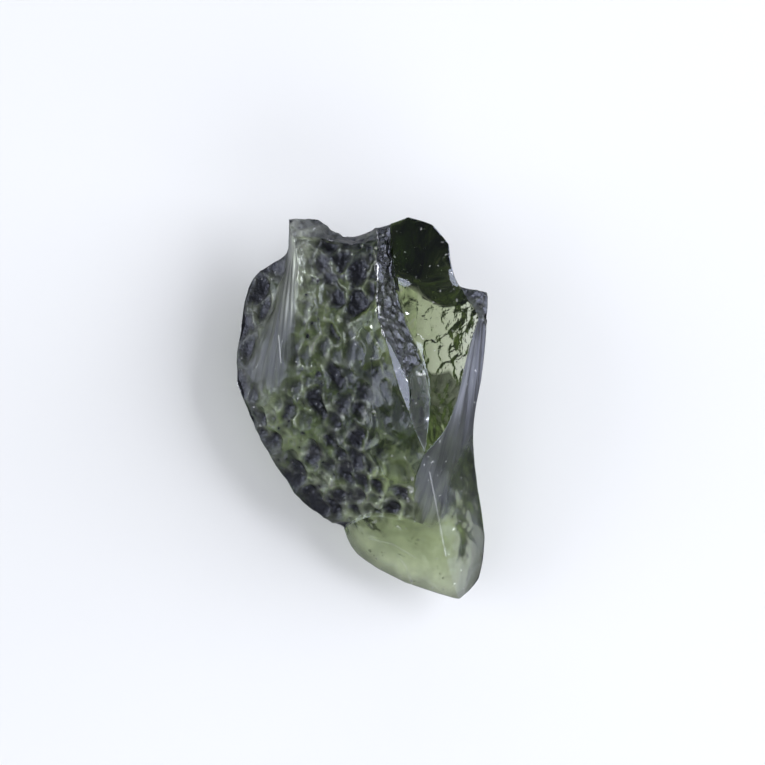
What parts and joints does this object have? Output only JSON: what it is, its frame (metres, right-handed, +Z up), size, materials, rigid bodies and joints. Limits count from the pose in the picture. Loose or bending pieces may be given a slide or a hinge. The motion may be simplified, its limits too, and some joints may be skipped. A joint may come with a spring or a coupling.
{
  "type": "raw moldavite",
  "caption": "A raw lump of green natural glass with an etched, pitted skin, a glassy broken scoop, silky flanks and a thin wedge at its foot, resting on a small flat spot",
  "frame": {"origin": "Middle of the stone's outline seen from above, on the plane that the stone rests on", "axes": "+X across the stone towards the glassy scoop, +Y along the stone towards the horn, +Z up from the flat spot"},
  "size_m": [0.0144, 0.022, 0.0078],
  "materials": {
    "moldavite_glass": "Clear bottle-green natural glass. Satin etched pits on the old skin, silky fine flutes on two flanks, and bright glossy breaks."
  },
  "bodies": {
    "root": {"moldavite": "moldavite_glass"}
  },
  "joints": []
}
